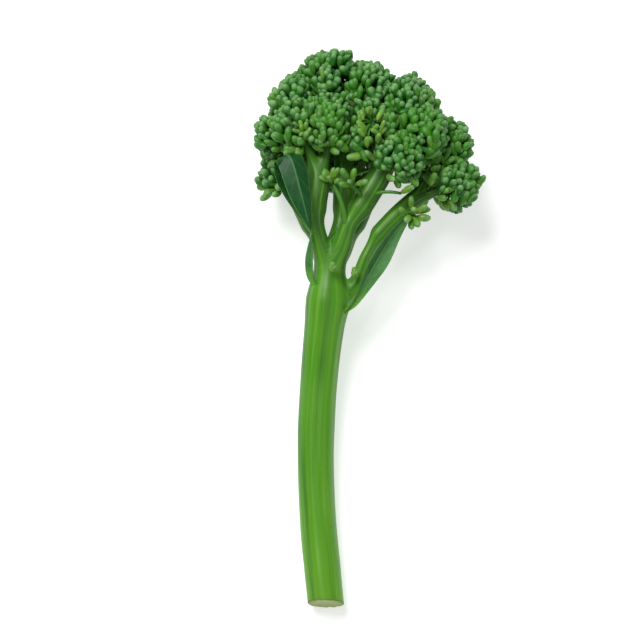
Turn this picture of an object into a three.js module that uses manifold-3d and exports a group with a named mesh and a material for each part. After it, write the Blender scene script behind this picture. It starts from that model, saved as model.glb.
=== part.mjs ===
// One stalk of broccolini, cut and lying on a table: a round stem that forks into branches, the florets of
// green buds that the branches carry, and the small leaves at its joints.
// Millimetres, +Z up. +Y runs from the cut end to the head, and the table is the plane z = 0.
import * as THREE from "three";
import { mergeVertices } from "three/addons/utils/BufferGeometryUtils.js";
import Module from "manifold-3d";

const wasm = await Module();
wasm.setup();

// Driving dimensions.
const stemRadius = 6.2;
const forkRadius = 7.4; // the stem is widest just under the fork
const forkY = 119; // where the stem divides into branches
const headMiddleZ = 23; // how high the fork and the middle of the head lie, because the head is thicker
const lobeShare = 0.12; // how far the lumps of a floret stand out, as a share of its radius
const lobeCount = 11;
const gap = 0.3; // clearance between neighbouring pieces
const goldenAngle = Math.PI * (3 - Math.sqrt(5));

// Colours of the fresh plant.
const stemSkin = { color: 0x6f9f3c, roughness: 0.45, metalness: 0 };
const branchSkin = { color: 0x5f9240, roughness: 0.5, metalness: 0 };
const budSkin = { color: 0x3f7440, roughness: 0.7, metalness: 0 };
const leafSkin = { color: 0x3c6b48, roughness: 0.6, metalness: 0 };

const stalk = new THREE.Group();

function point([x, y, z]) {
  return new THREE.Vector3(x, y, z);
}

function addMesh(name, geometry, skin) {
  const mesh = new THREE.Mesh(geometry, new THREE.MeshStandardMaterial(skin));
  mesh.name = name;
  stalk.add(mesh);
}

// A three.js geometry as a manifold solid, and back again.
function toSolid(geometry) {
  const bare = geometry.clone();
  bare.deleteAttribute("normal");
  bare.deleteAttribute("uv");
  const merged = mergeVertices(bare, 1e-3);
  return new wasm.Manifold(
    new wasm.Mesh({
      numProp: 3,
      vertProperties: merged.getAttribute("position").array,
      triVerts: new Uint32Array(merged.index.array),
    }),
  );
}

function toGeometry(solid) {
  const mesh = solid.getMesh();
  const geometry = new THREE.BufferGeometry();
  geometry.setAttribute("position", new THREE.BufferAttribute(mesh.vertProperties, 3));
  geometry.setIndex(new THREE.BufferAttribute(mesh.triVerts, 1));
  geometry.computeVertexNormals();
  return geometry;
}

// A closed limb that follows a smooth curve through the points of line. section(t) gives its half width and
// half thickness from its foot, t = 0, to its tip, t = 1. face is the way that its flat side looks. A limb
// with some clearance is that much bigger all round.
function limb({ line, section, sides = 12, steps = 16, face = [0, 0, 1] }, clearance = 0) {
  const points = line.map(point);
  const [first, second] = points;
  const [nextToLast, last] = points.slice(-2);
  first.addScaledVector(first.clone().sub(second).normalize(), clearance);
  last.addScaledVector(last.clone().sub(nextToLast).normalize(), clearance);
  const curve = new THREE.CatmullRomCurve3(points);
  const geometry = new THREE.CylinderGeometry(1, 1, 1, sides, steps);
  const position = geometry.getAttribute("position");
  for (let i = 0; i < position.count; i++) {
    const t = position.getY(i) + 0.5;
    const [halfWidth, halfThickness] = section(t);
    const along = curve.getTangentAt(t);
    const side = new THREE.Vector3().crossVectors(along, point(face)).normalize();
    const out = new THREE.Vector3().crossVectors(side, along);
    const place = curve.getPointAt(t);
    place.addScaledVector(side, position.getX(i) * (halfWidth + clearance));
    place.addScaledVector(out, position.getZ(i) * (halfThickness + clearance));
    position.setXYZ(i, place.x, place.y, place.z);
  }
  geometry.computeVertexNormals();
  return geometry;
}

// A smooth swelling of the given height around t = middle.
function swelling(t, middle, width, height) {
  return height * Math.exp(-(((t - middle) / width) ** 2));
}

// A rounded tip: the share of the full radius that is left at t, over the last stretch of a limb.
function rounding(t, stretch) {
  const past = Math.max(0, (t - 1 + stretch) / stretch);
  return Math.sqrt(Math.max(0.07, 1 - past ** 2));
}

const stem = {
  line: [
    [1.4, 0, stemRadius + 0.1],
    [-1.2, 22, stemRadius + 0.6],
    [-2.4, 53, 9],
    [-0.8, 80, 13.5],
    [1.6, 101, 19],
    [2.6, forkY, headMiddleZ],
  ],
  section: (t) => {
    const joints = swelling(t, 0.86, 0.035, 0.7) + swelling(t, 0.5, 0.02, 0.35);
    const flare = (forkRadius - stemRadius) * THREE.MathUtils.smoothstep(t, 0.55, 0.92);
    const radius = stemRadius - 0.05 + joints;
    return [(radius + flare) * rounding(t, 0.07), (radius + 0.5 * flare) * rounding(t, 0.07)];
  },
  sides: 24,
  steps: 40,
};

// The branches that leave the stem: each starts inside it and tapers to the tip that its florets stand on.
const branches = {
  right_branch: {
    line: [[5, forkY - 4, 25], [8.4, 124, 27.6], [15, 134, 29], [21, 144.5, 28.5]],
    foot: 3.1,
    tip: 2.5,
  },
  left_branch: {
    line: [[0.6, forkY - 4, 24.5], [-1.9, 124, 27.2], [-2.2, 134, 28.6], [0.8, 144, 28.8]],
    foot: 2.7,
    tip: 2.1,
  },
  centre_branch: {
    line: [[3.2, forkY - 2, 21], [6.4, 128, 19.6], [7.4, 138, 20.4], [6.6, 147, 22]],
    foot: 3,
    tip: 2.4,
  },
  back_left_branch: {
    line: [[1, forkY - 4, 18.5], [-2.6, 124, 15.6], [-6.2, 132, 14.2], [-9.4, 139.5, 13.6]],
    foot: 2.5,
    tip: 2,
  },
  back_right_branch: {
    line: [[5.6, forkY - 4, 19], [10, 125, 15], [13.6, 133, 13.2], [16.4, 141, 12.8]],
    foot: 2.5,
    tip: 2.1,
  },
  right_shoot: {
    line: [[5, 97, 20], [10.6, 106.5, 21.8], [18, 121, 23.4], [27, 131.5, 23.2], [36.5, 137, 22]],
    foot: 2.3,
    tip: 1.8,
  },
};

function largestBody(solid) {
  return solid.decompose().reduce((a, b) => (a.volume() > b.volume() ? a : b));
}

// The stem and its branches meet face to face: each branch is cut back from those made before it.
function addStemAndBranches() {
  addMesh("main_stem", limb(stem), stemSkin);
  const cutters = [toSolid(limb(stem, gap))];
  for (const [name, { line, foot, tip }] of Object.entries(branches)) {
    const section = (t) => {
      const radius = (foot + (tip - foot) * t) * rounding(t, 0.1);
      return [radius, radius];
    };
    const branch = { line, section, steps: 14 };
    const cut = cutters.reduce((solid, cutter) => solid.subtract(cutter), toSolid(limb(branch)));
    addMesh(name, toGeometry(largestBody(cut)), branchSkin);
    cutters.push(toSolid(limb(branch, gap)));
  }
}

// The florets that each branch carries: the middle of each dome of buds and its radius.
const florets = {
  left_branch: {
    top_left_floret: { centre: [-8.6, 167.5, 27], radius: 11.6 },
    left_floret: { centre: [-14.6, 155.5, 26.5], radius: 10 },
    front_left_floret: { centre: [-9, 157, 36.3], radius: 8.8 },
    front_floret: { centre: [3, 157.5, 36.6], radius: 10 },
  },
  centre_branch: {
    top_floret: { centre: [2.5, 175.5, 25.5], radius: 12.2 },
    top_right_floret: { centre: [15, 173, 26.5], radius: 11.2 },
    back_floret: { centre: [4.5, 165, 11.4], radius: 10.4 },
  },
  right_branch: {
    outer_top_floret: { centre: [28.5, 167.5, 27], radius: 11.2 },
    front_right_floret: { centre: [16.5, 156.5, 37.6], radius: 9.4 },
    right_floret: { centre: [33, 154.5, 34], radius: 9.8 },
    front_low_floret: { centre: [26, 146.4, 38.9], radius: 8 },
  },
  right_shoot: {
    outer_floret: { centre: [42.5, 153, 23.5], radius: 10 },
    outer_low_floret: { centre: [45.5, 139.5, 25.5], radius: 8.6 },
    back_outer_floret: { centre: [40, 149.5, 8.2], radius: 8.4 },
  },
  back_left_branch: {
    low_left_floret: { centre: [-15.5, 144, 19], radius: 8.2 },
    back_left_floret: { centre: [-11.5, 155.5, 9], radius: 9.2 },
  },
  back_right_branch: {
    back_right_floret: { centre: [24.5, 161, 10], radius: 10.2 },
    back_low_floret: { centre: [8, 150.5, 7.7], radius: 7.9 },
  },
};

// The lobes of a dome of buds: a lump stands out in each of these directions.
function lobeDirections(count, turn) {
  return Array.from({ length: count }, (_, i) => {
    const height = 1 - (i + 0.5) / count;
    const around = Math.sqrt(1 - height ** 2);
    const angle = i * goldenAngle + turn;
    return new THREE.Vector3(Math.cos(angle) * around, height, Math.sin(angle) * around);
  });
}

// A dome of buds with lobes, which narrows down to the stalk that it stands on at foot.
function floretSolid({ foot, middle, radius, turn }) {
  const geometry = new THREE.IcosahedronGeometry(1, 3);
  const position = geometry.getAttribute("position");
  const lobes = lobeDirections(lobeCount, turn);
  const stalkLength = middle.distanceTo(foot);
  const stalkRadius = 0.3 * radius;
  const unit = new THREE.Vector3();
  for (let i = 0; i < position.count; i++) {
    unit.fromBufferAttribute(position, i);
    const lobe = Math.max(...lobes.map((way) => Math.max(0, unit.dot(way)) ** 14));
    const down = Math.max(0, -unit.y);
    const fullness = 1 - lobeShare + lobeShare * lobe;
    const height = down > 0 ? -stalkLength * down : radius * unit.y * fullness;
    const narrowed = THREE.MathUtils.lerp(radius, stalkRadius, Math.min(1, down * 1.5) ** 0.8);
    position.setXYZ(i, unit.x * narrowed * fullness, height, unit.z * narrowed * fullness);
  }
  const growth = middle.clone().sub(foot).normalize();
  geometry.applyQuaternion(new THREE.Quaternion().setFromUnitVectors(new THREE.Vector3(0, 1, 0), growth));
  geometry.translate(middle.x, middle.y, middle.z);
  return toSolid(geometry);
}

// The wall between two crowded florets. It stands along the way that both of them grow.
function wallBetween(a, b) {
  const growth = a.growth.clone().add(b.growth).normalize();
  const apart = b.middle.clone().sub(a.middle);
  const normal = apart.clone().addScaledVector(growth, -apart.dot(growth)).normalize();
  const meeting = a.middle.clone().lerp(b.middle, a.radius / (a.radius + b.radius));
  return { normal, distance: normal.dot(meeting) };
}

function addFlorets() {
  const grown = [];
  for (const [branch, carried] of Object.entries(florets)) {
    const tip = point(branches[branch].line.at(-1));
    for (const [name, { centre, radius }] of Object.entries(carried)) {
      const middle = point(centre);
      const growth = middle.clone().sub(tip).normalize();
      const foot = tip.clone().addScaledVector(growth, gap);
      grown.push({ name, foot, middle, growth, radius, turn: grown.length });
    }
  }
  for (const floret of grown) {
    let solid = floretSolid(floret).trimByPlane([0, 0, 1], 0);
    for (const other of grown) {
      const reach = floret.radius + other.radius + gap;
      if (other === floret || floret.middle.distanceTo(other.middle) > reach * 1.25) continue;
      const { normal, distance } = wallBetween(floret, other);
      solid = solid.trimByPlane(normal.clone().negate().toArray(), gap / 2 - distance);
    }
    addMesh(floret.name, toGeometry(solid), budSkin);
  }
}

// Leaf blades are thin ovals that follow a bent midrib.
function blade(halfWidth, halfThickness) {
  return (t) => [
    halfWidth * Math.max(0.12, Math.sin(Math.PI * Math.min(0.97, 0.08 + t * 0.92)) ** 0.8),
    halfThickness,
  ];
}

// The leaves and the buds in the stem's joints are free limbs, each a piece of its own.
const leaves = {
  hanging_leaf: {
    line: [
      [-6.2, 127, 29.6],
      [-9.4, 132.5, 32.4],
      [-12.6, 139.5, 36.6],
      [-12.4, 143, 40.6],
      [-10, 140, 42.6],
      [-7.4, 131.5, 41.6],
      [-4.4, 121.5, 38],
    ],
    section: blade(3.9, 0.6),
    face: [0.1, -0.2, 1],
  },
  shoot_leaf: {
    line: [[10.6, 99.5, 24.6], [16.8, 110, 27], [23.6, 120, 28.8], [30, 129, 29]],
    section: blade(3.6, 0.6),
    face: [0.5, -0.3, 1],
  },
  left_bract: {
    line: [[-5.9, 106, 26.2], [-6.9, 111, 27.8], [-7, 116.5, 29.4], [-6.2, 122, 31.2]],
    section: blade(1.5, 0.5),
    face: [-1, 0, 0.8],
  },
};

const axilBuds = {
  front_axil_bud: [[3, 107.5, 29.3], [3.4, 110, 30.4], [3.6, 112.4, 30.8]],
  right_axil_bud: [[10, 106, 27.6], [10.8, 108.4, 28.8], [11.1, 110.8, 29.2]],
};

function addLeavesAndBuds() {
  for (const [name, leaf] of Object.entries(leaves)) {
    addMesh(name, limb({ ...leaf, sides: 10, steps: 12 }), leafSkin);
  }
  for (const [name, line] of Object.entries(axilBuds)) {
    addMesh(name, limb({ line, section: blade(1.3, 1.1), sides: 8, steps: 6 }), branchSkin);
  }
}

addStemAndBranches();
addFlorets();
addLeavesAndBuds();

// The origin is under the middle of the stalk, on the table.
const box = new THREE.Box3().setFromObject(stalk);
const middle = box.getCenter(new THREE.Vector3());
stalk.position.set(-middle.x, -middle.y, -box.min.z);

const broccolini = new THREE.Group();
broccolini.add(stalk);
export default broccolini;
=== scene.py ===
import math

import bpy
import numpy as np
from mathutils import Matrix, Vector
from mathutils.bvhtree import BVHTree


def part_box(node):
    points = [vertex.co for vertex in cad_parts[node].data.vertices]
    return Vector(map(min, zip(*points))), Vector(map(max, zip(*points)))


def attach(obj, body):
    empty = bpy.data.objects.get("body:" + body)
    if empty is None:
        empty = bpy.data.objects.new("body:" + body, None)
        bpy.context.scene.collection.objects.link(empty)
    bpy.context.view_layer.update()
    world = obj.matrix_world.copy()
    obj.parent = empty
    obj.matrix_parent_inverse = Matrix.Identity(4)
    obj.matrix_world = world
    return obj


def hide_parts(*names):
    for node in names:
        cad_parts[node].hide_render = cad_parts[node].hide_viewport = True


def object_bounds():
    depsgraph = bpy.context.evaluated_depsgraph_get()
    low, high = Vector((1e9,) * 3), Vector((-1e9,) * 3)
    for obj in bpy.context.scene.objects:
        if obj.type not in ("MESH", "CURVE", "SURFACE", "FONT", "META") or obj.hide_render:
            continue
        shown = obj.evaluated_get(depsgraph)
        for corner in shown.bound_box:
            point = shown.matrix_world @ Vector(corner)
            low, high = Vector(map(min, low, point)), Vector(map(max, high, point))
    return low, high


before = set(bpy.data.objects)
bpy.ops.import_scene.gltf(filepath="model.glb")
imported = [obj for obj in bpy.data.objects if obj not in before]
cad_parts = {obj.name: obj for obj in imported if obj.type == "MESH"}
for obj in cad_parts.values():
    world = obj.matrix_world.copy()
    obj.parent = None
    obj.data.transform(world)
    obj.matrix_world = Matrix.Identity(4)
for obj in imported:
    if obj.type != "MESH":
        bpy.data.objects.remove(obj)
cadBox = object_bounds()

mm = 0.001
upward = (0, 0, 1)
goldenAngle = math.pi * (3 - math.sqrt(5))
rng = np.random.default_rng(11)

# The florets that each branch carries.
carriedBy = {
    "left_branch": ["top_left_floret", "left_floret", "front_left_floret", "front_floret"],
    "centre_branch": ["top_floret", "top_right_floret", "back_floret"],
    "right_branch": ["outer_top_floret", "front_right_floret", "right_floret", "front_low_floret"],
    "right_shoot": ["outer_floret", "outer_low_floret", "back_outer_floret"],
    "back_left_branch": ["low_left_floret", "back_left_floret"],
    "back_right_branch": ["back_right_floret", "back_low_floret"],
}


def unit(v):
    v = np.asarray(v, float)
    return v / np.maximum(np.linalg.norm(v, axis=-1, keepdims=True), 1e-12)


def smoothStep(value, low, high):
    t = np.clip((value - low) / (high - low), 0, 1)
    return t * t * (3 - 2 * t)


def blendBetween(a, b, share):
    return a + (b - a) * share


# A smooth wandering value between -1 and 1 for each row of some coordinates.
def wander(coords, seed, octaves=3):
    coords = np.atleast_2d(coords)
    own = np.random.default_rng(seed)
    total, weight = np.zeros(len(coords)), 0
    for octave in range(octaves):
        for _ in range(3):
            way = own.normal(size=coords.shape[1]) * 2 ** octave
            total += np.sin(coords @ way + own.uniform(0, 2 * math.pi)) / 2 ** octave
            weight += 0.6 / 2 ** octave
    return np.clip(total / weight, -1, 1)


# How far along a line each of its points is.
def lengthsAlong(line):
    return np.concatenate([[0], np.cumsum(np.linalg.norm(np.diff(line, axis=0), axis=1))])


# A smooth line through the control points, as count points spaced evenly along it.
def smoothLine(control, count):
    control = np.asarray(control, float)
    padded = np.vstack([2 * control[0] - control[1], control, 2 * control[-1] - control[-2]])
    t = np.linspace(0, 1, 24, endpoint=False)[:, None]
    dense = []
    for i in range(1, len(padded) - 2):
        before, a, b, after = padded[i - 1:i + 3]
        dense.append(a + 0.5 * t * (b - before) + t * t * (before - 2.5 * a + 2 * b - 0.5 * after)
                     + t ** 3 * (1.5 * a - 1.5 * b + 0.5 * after - 0.5 * before))
    dense = np.vstack([*dense, control[-1:]])
    along = lengthsAlong(dense)
    at = np.linspace(0, along[-1], count)
    return np.stack([np.interp(at, along, dense[:, k]) for k in range(3)], axis=1)


# The directions along a line, to its side, and out of it on the side of up.
def lineFrames(line, up=upward):
    along = unit(np.gradient(line, axis=0))
    side = unit(np.cross(along, np.broadcast_to(np.asarray(up, float), line.shape)))
    return along, side, np.cross(side, along)


# The faces between rings of points that follow each other.
def ringFaces(rings, sides):
    ring, spoke = np.meshgrid(np.arange(rings - 1), np.arange(sides), indexing="ij")
    here, beside = ring * sides + spoke, ring * sides + (spoke + 1) % sides
    return np.stack([here, beside, beside + sides, here + sides], axis=-1).reshape(-1, 4)


# The fans that close the first and the last ring, on two points that come after all the rings.
def endFans(rings, sides):
    foot, spokes = np.full(sides, rings * sides), np.arange(sides)
    following = (spokes + 1) % sides
    return np.concatenate([np.stack([foot, following, spokes], axis=1),
                           np.stack([foot + 1, foot - sides + spokes, foot - sides + following], axis=1)])


# Gives each point of a mesh a value or a direction, which a material reads by its name.
def setMark(mesh, name, values):
    kind = "FLOAT" if np.ndim(values) == 1 else "FLOAT_VECTOR"
    layer = mesh.attributes.new(name, kind, "POINT")
    layer.data.foreach_set("value" if kind == "FLOAT" else "vector",
                           np.ascontiguousarray(values, np.float32).ravel())


def newPiece(name, points, quads, triangles=np.zeros((0, 3), int), **marks):
    mesh = bpy.data.meshes.new(name)
    corners = np.concatenate([quads.ravel(), triangles.ravel()]).astype(np.int32)
    starts = np.concatenate([np.arange(len(quads)) * 4, len(quads) * 4 + np.arange(len(triangles)) * 3])
    mesh.vertices.add(len(points))
    mesh.vertices.foreach_set("co", np.ascontiguousarray(points, np.float32).ravel())
    mesh.loops.add(len(corners))
    mesh.loops.foreach_set("vertex_index", corners)
    mesh.polygons.add(len(starts))
    mesh.polygons.foreach_set("loop_start", starts.astype(np.int32))
    mesh.update(calc_edges=True)
    mesh.polygons.foreach_set("use_smooth", np.ones(len(starts), bool))
    for key, values in marks.items():
        setMark(mesh, key, values)
    mesh.validate()
    piece = bpy.data.objects.new(name, mesh)
    bpy.context.scene.collection.objects.link(piece)
    return piece


# Points, faces and marks that are put together part by part and built as one piece.
class Gathered:
    def __init__(self):
        self.points, self.quads, self.triangles, self.marks, self.count = [], [], [], [], 0

    def add(self, points, quads, triangles=None, **marks):
        self.points.append(points)
        self.quads.append(quads + self.count)
        if triangles is not None:
            self.triangles.append(triangles + self.count)
        filled = {name: np.broadcast_to(value, (len(points),)) for name, value in marks.items()}
        self.marks.append((len(points), filled))
        self.count += len(points)

    def build(self, name):
        marks = {}
        for key in sorted({key for _, filled in self.marks for key in filled}):
            marks[key] = np.concatenate([filled.get(key, np.zeros(n)) for n, filled in self.marks])
        return newPiece(name, np.concatenate(self.points), np.concatenate(self.quads),
                        np.concatenate(self.triangles), **marks)


# A tube round a line, closed at both ends. Each ring has a width and a thickness of its own.
def tube(line, halfWidth, halfThickness, sides):
    rings = len(line)
    _, side, out = lineFrames(line)
    angle = np.linspace(0, 2 * math.pi, sides, endpoint=False)[None, :, None]
    across = halfWidth[:, None, None] * np.cos(angle) * side[:, None]
    over = halfThickness[:, None, None] * np.sin(angle) * out[:, None]
    points = (line[:, None] + across + over).reshape(-1, 3)
    return np.vstack([points, line[:1], line[-1:]]), ringFaces(rings, sides), endFans(rings, sides)


def meshPoints(mesh, key="co"):
    values = np.empty(len(mesh.vertices) * 3)
    mesh.vertices.foreach_get(key, values)
    return values.reshape(-1, 3)


def meshEdges(mesh):
    edges = np.empty(len(mesh.edges) * 2, int)
    mesh.edges.foreach_get("vertices", edges)
    return edges.reshape(-1, 2)


def nodeMesh(node):
    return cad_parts[node].data


def nodeBox(node):
    return [np.array(corner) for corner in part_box(node)]


def nodeTree(node):
    mesh = nodeMesh(node)
    return BVHTree.FromPolygons([v.co for v in mesh.vertices], [p.vertices[:] for p in mesh.polygons])


# Where a flat cut through a node crosses its skin: the middle, half width and half thickness there.
def cutThrough(points, edges, origin, normal, side, out, reach):
    height = (points - origin) @ normal
    low, high = height[edges[:, 0]], height[edges[:, 1]]
    crossing = low * high < 0
    share = (low[crossing] / (low[crossing] - high[crossing]))[:, None]
    found = blendBetween(points[edges[crossing, 0]], points[edges[crossing, 1]], share)
    found = found[np.linalg.norm(found - origin, axis=1) < reach]
    x, z = (found - origin) @ side, (found - origin) @ out
    middle = origin + side * (x.max() + x.min()) / 2 + out * (z.max() + z.min()) / 2
    return middle, (x.max() - x.min()) / 2, (z.max() - z.min()) / 2


# The middle line of a limb node and its half widths, found by cutting it across twice: along its
# length as a whole, and then square to the line that the first cuts give.
def spineOf(node, cuts, way=None, margin=0.02):
    anywhere, besideTheLine = 1, 14 * mm
    points, edges = meshPoints(nodeMesh(node)), meshEdges(nodeMesh(node))
    middle = points.mean(0)
    if way is None:
        way = unit(np.linalg.svd(points - middle, full_matrices=False)[2][0])
    way = way if way[1] > 0 else -way
    reach = (points - middle) @ way
    places = np.linspace(reach.min(), reach.max(), cuts + 2)[1:-1]
    places[0] = blendBetween(reach.min(), reach.max(), margin)
    places[-1] = blendBetween(reach.min(), reach.max(), 1 - margin)
    side = unit(np.cross(way, upward))
    out = np.cross(side, way)
    line = np.array([cutThrough(points, edges, middle + way * place, way, side, out, anywhere)[0]
                     for place in places])
    along, sides, outs = lineFrames(line)
    found = [cutThrough(points, edges, line[i], along[i], sides[i], outs[i], besideTheLine)
             for i in range(1, cuts - 1)]
    return tuple(np.array(measure) for measure in zip(*found))


# A colour in steps of 0 to 255, as the light values that a shader takes.
def linear(red, green, blue):
    channels = [c / 255 for c in (red, green, blue)]
    return tuple(c / 12.92 if c <= 0.04045 else ((c + 0.055) / 1.055) ** 2.4 for c in channels) + (1,)


# Short ways to add and join the shader nodes of one material or group.
class Painter:
    def __init__(self, tree):
        self.nodes, self.links = tree.nodes, tree.links

    def node(self, kind, **settings):
        made = self.nodes.new(kind)
        for key, value in settings.items():
            setattr(made, key, value)
        return made

    def put(self, value, socket):
        if isinstance(value, bpy.types.NodeSocket):
            self.links.new(value, socket)
        else:
            socket.default_value = value

    def mark(self, name, vector=False):
        return self.node("ShaderNodeAttribute", attribute_name=name).outputs["Vector" if vector else "Fac"]

    def math(self, operation, a, b):
        made = self.node("ShaderNodeMath", operation=operation)
        self.put(a, made.inputs[0])
        self.put(b, made.inputs[1])
        return made.outputs[0]

    def remap(self, value, low, high, newLow=0.0, newHigh=1.0):
        made = self.node("ShaderNodeMapRange", interpolation_type="SMOOTHSTEP")
        for socket, given in zip(made.inputs[:5], (value, low, high, newLow, newHigh)):
            self.put(given, socket)
        return made.outputs[0]

    def mix(self, share, a, b, kind="MIX"):
        made = self.node("ShaderNodeMix", data_type="RGBA", blend_type=kind)
        self.put(share, made.inputs[0])
        self.put(a, made.inputs[6])
        self.put(b, made.inputs[7])
        return made.outputs[2]

    def noise(self, vector, scale, detail=3.0, roughness=0.55):
        made = self.node("ShaderNodeTexNoise")
        self.put(vector, made.inputs["Vector"])
        self.put(scale, made.inputs["Scale"])
        made.inputs["Detail"].default_value = detail
        made.inputs["Roughness"].default_value = roughness
        return made.outputs["Fac"]

    def place(self):
        return self.node("ShaderNodeTexCoord").outputs["Object"]

    def stretched(self, vector, amounts):
        made = self.node("ShaderNodeMapping")
        self.put(vector, made.inputs["Vector"])
        made.inputs["Scale"].default_value = amounts
        return made.outputs[0]

    def bump(self, height, strength, distance, normal=None):
        made = self.node("ShaderNodeBump")
        made.inputs["Strength"].default_value = strength
        made.inputs["Distance"].default_value = distance
        self.put(height, made.inputs["Height"])
        if normal is not None:
            self.put(normal, made.inputs["Normal"])
        return made.outputs[0]

    def group(self, tree, **values):
        made = self.node("ShaderNodeGroup", node_tree=tree)
        for key, value in values.items():
            self.put(value, made.inputs[key])
        return made.outputs


def newGroup(name, inputs, outputs):
    tree = bpy.data.node_groups.new(name, "ShaderNodeTree")
    for label, kind, default in inputs:
        socket = tree.interface.new_socket(label, in_out="INPUT", socket_type=kind)
        socket.default_value = default
    for label, kind in outputs:
        tree.interface.new_socket(label, in_out="OUTPUT", socket_type=kind)
    painter = Painter(tree)
    return tree, painter, painter.node("NodeGroupInput").outputs, painter.node("NodeGroupOutput").inputs


# Fresh plant colour: large soft patches of a second colour, and small lighter and darker flecks.
def mottleGroup():
    tree, p, given, out = newGroup("Mottle", [
        ("Colour", "NodeSocketColor", (1, 1, 1, 1)), ("Patch Colour", "NodeSocketColor", (1, 1, 1, 1)),
        ("Patch Scale", "NodeSocketFloat", 100), ("Patch Amount", "NodeSocketFloat", 0.5),
        ("Fleck Amount", "NodeSocketFloat", 0.2)], [("Colour", "NodeSocketColor")])
    patches = p.noise(p.place(), given["Patch Scale"], 2.0, 0.5)
    share = p.math("MULTIPLY", p.remap(patches, 0.38, 0.64), given["Patch Amount"])
    patched = p.mix(share, given["Colour"], given["Patch Colour"])
    fleck = p.remap(p.noise(p.place(), 1600, 2), 0.3, 0.7, 0.62, 1.38)
    fleckColour = p.node("ShaderNodeCombineColor")
    for channel in fleckColour.inputs:
        p.put(fleck, channel)
    flecked = p.mix(1.0, patched, fleckColour.outputs[0], "MULTIPLY")
    p.put(p.mix(given["Fleck Amount"], patched, flecked), out["Colour"])
    return tree


# The waxy bloom on young skin: a thin pale film, thicker in soft patches and where Amount says.
def bloomGroup():
    tree, p, given, out = newGroup("Waxy Bloom", [
        ("Colour", "NodeSocketColor", (1, 1, 1, 1)), ("Bloom Colour", "NodeSocketColor", (1, 1, 1, 1)),
        ("Amount", "NodeSocketFloat", 0.3), ("Scale", "NodeSocketFloat", 220)],
        [("Colour", "NodeSocketColor"), ("Roughness", "NodeSocketFloat")])
    film = p.noise(p.place(), given["Scale"], 5.0, 0.5)
    share = p.math("MULTIPLY", p.remap(film, 0.25, 0.75, 0.35, 1.0), given["Amount"])
    p.put(p.mix(share, given["Colour"], given["Bloom Colour"]), out["Colour"])
    p.put(p.math("ADD", 0.36, p.math("MULTIPLY", share, 0.35)), out["Roughness"])
    return tree


def newMaterial(name, settings):
    made = bpy.data.materials.new(name)
    made.use_nodes = True
    made.node_tree.nodes.clear()
    p = Painter(made.node_tree)
    shader = p.node("ShaderNodeBsdfPrincipled")
    for label, value in settings.items():
        shader.inputs[label].default_value = value
    p.links.new(shader.outputs[0], p.node("ShaderNodeOutputMaterial").inputs["Surface"])
    return made, p, shader.inputs


# How light sinks into fresh green skin.
softSkin = {"Subsurface Weight": 0.1, "Subsurface Radius": (0.5, 1.0, 0.25), "Subsurface Scale": 0.0012}

# The branches colour holds painted shade: the branches are drawn darker, as if shaded by the florets above.
stemColours = {
    "foot": linear(94, 160, 22), "middle": linear(78, 149, 14), "upper": linear(70, 142, 26),
    "branches": linear(30, 90, 14), "darkBand": linear(48, 106, 20), "paleBand": linear(122, 184, 50),
    "streak": linear(146, 192, 96), "patch": linear(92, 156, 24), "joint": linear(132, 184, 92),
    "speck": linear(40, 80, 18), "bloom": linear(142, 190, 112), "pith": linear(176, 190, 126),
    "pithEdge": linear(150, 172, 86), "cutRim": linear(104, 122, 44), "cutSpeckle": linear(142, 148, 92),
}


def stemMaterial(mottle, bloom):
    made, p, skin = newMaterial("Stem Skin", {**softSkin, "Specular IOR Level": 0.26})
    along, joint, cutFace, ring = p.mark("along"), p.mark("joint"), p.mark("cutFace"), p.mark("fromMiddle")
    grain = p.mark("grain", vector=True)
    low = p.mix(p.remap(along, 0.0, 0.3), stemColours["foot"], stemColours["middle"])
    high = p.mix(p.remap(along, 0.54, 0.66), low, stemColours["upper"])
    # Painted shade: towards the branches the stem turns much darker, as if in the shade under the florets.
    top = p.mix(p.remap(along, 0.61, 0.72), high, stemColours["branches"])
    bands = p.noise(p.stretched(grain, (1.5, 1.5, 0.12)), 1.0, 2, 0.5)
    banded = p.mix(p.remap(bands, 0.42, 0.62, 0.0, 0.8), top, stemColours["darkBand"])
    # Pale bands along the stem: partly pale waxy streaks of its skin, partly painted highlight bands.
    pale = p.noise(p.stretched(grain, (1.9, 1.9, 0.1)), 1.4, 1)
    lit = p.mix(p.remap(pale, 0.52, 0.74, 0.0, 0.55), banded, stemColours["paleBand"])
    streaks = p.noise(p.stretched(grain, (6.5, 6.5, 0.3)), 1.0, 3, 0.55)
    streaked = p.mix(p.remap(streaks, 0.48, 0.7, 0.0, 0.2), lit, stemColours["streak"])
    mottled = p.group(mottle, **{"Colour": streaked, "Patch Colour": stemColours["patch"],
                                 "Patch Scale": 60.0, "Patch Amount": 0.25, "Fleck Amount": 0.06})["Colour"]
    jointed = p.mix(p.math("MULTIPLY", joint, 0.42), mottled, stemColours["joint"])
    specks = p.remap(p.noise(p.place(), 330, 1), 0.74, 0.8, 0.0, 0.5)
    specked = p.mix(specks, jointed, stemColours["speck"])
    waxed = p.group(bloom, **{"Colour": specked, "Bloom Colour": stemColours["bloom"], "Amount": 0.07,
                              "Scale": 70.0})
    pith = p.mix(p.remap(ring, 0.45, 0.9), stemColours["pith"], stemColours["pithEdge"])
    rim = p.mix(p.remap(ring, 0.88, 0.99), pith, stemColours["cutRim"])
    speckle = p.remap(p.noise(p.place(), 1500, 3), 0.35, 0.7, 0.0, 0.5)
    cut = p.mix(speckle, rim, stemColours["cutSpeckle"])
    p.put(p.mix(cutFace, waxed["Colour"], cut), skin["Base Color"])
    p.put(p.mix(cutFace, waxed["Roughness"], (0.55, 0.55, 0.55, 1)), skin["Roughness"])
    fibres = p.noise(p.stretched(grain, (9, 9, 0.5)), 1.0, 4, 0.6)
    pits = p.noise(p.place(), 2400, 2)
    p.put(p.bump(pits, 0.08, 0.0001, p.bump(fibres, 0.2, 0.00018)), skin["Normal"])
    return made


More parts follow.
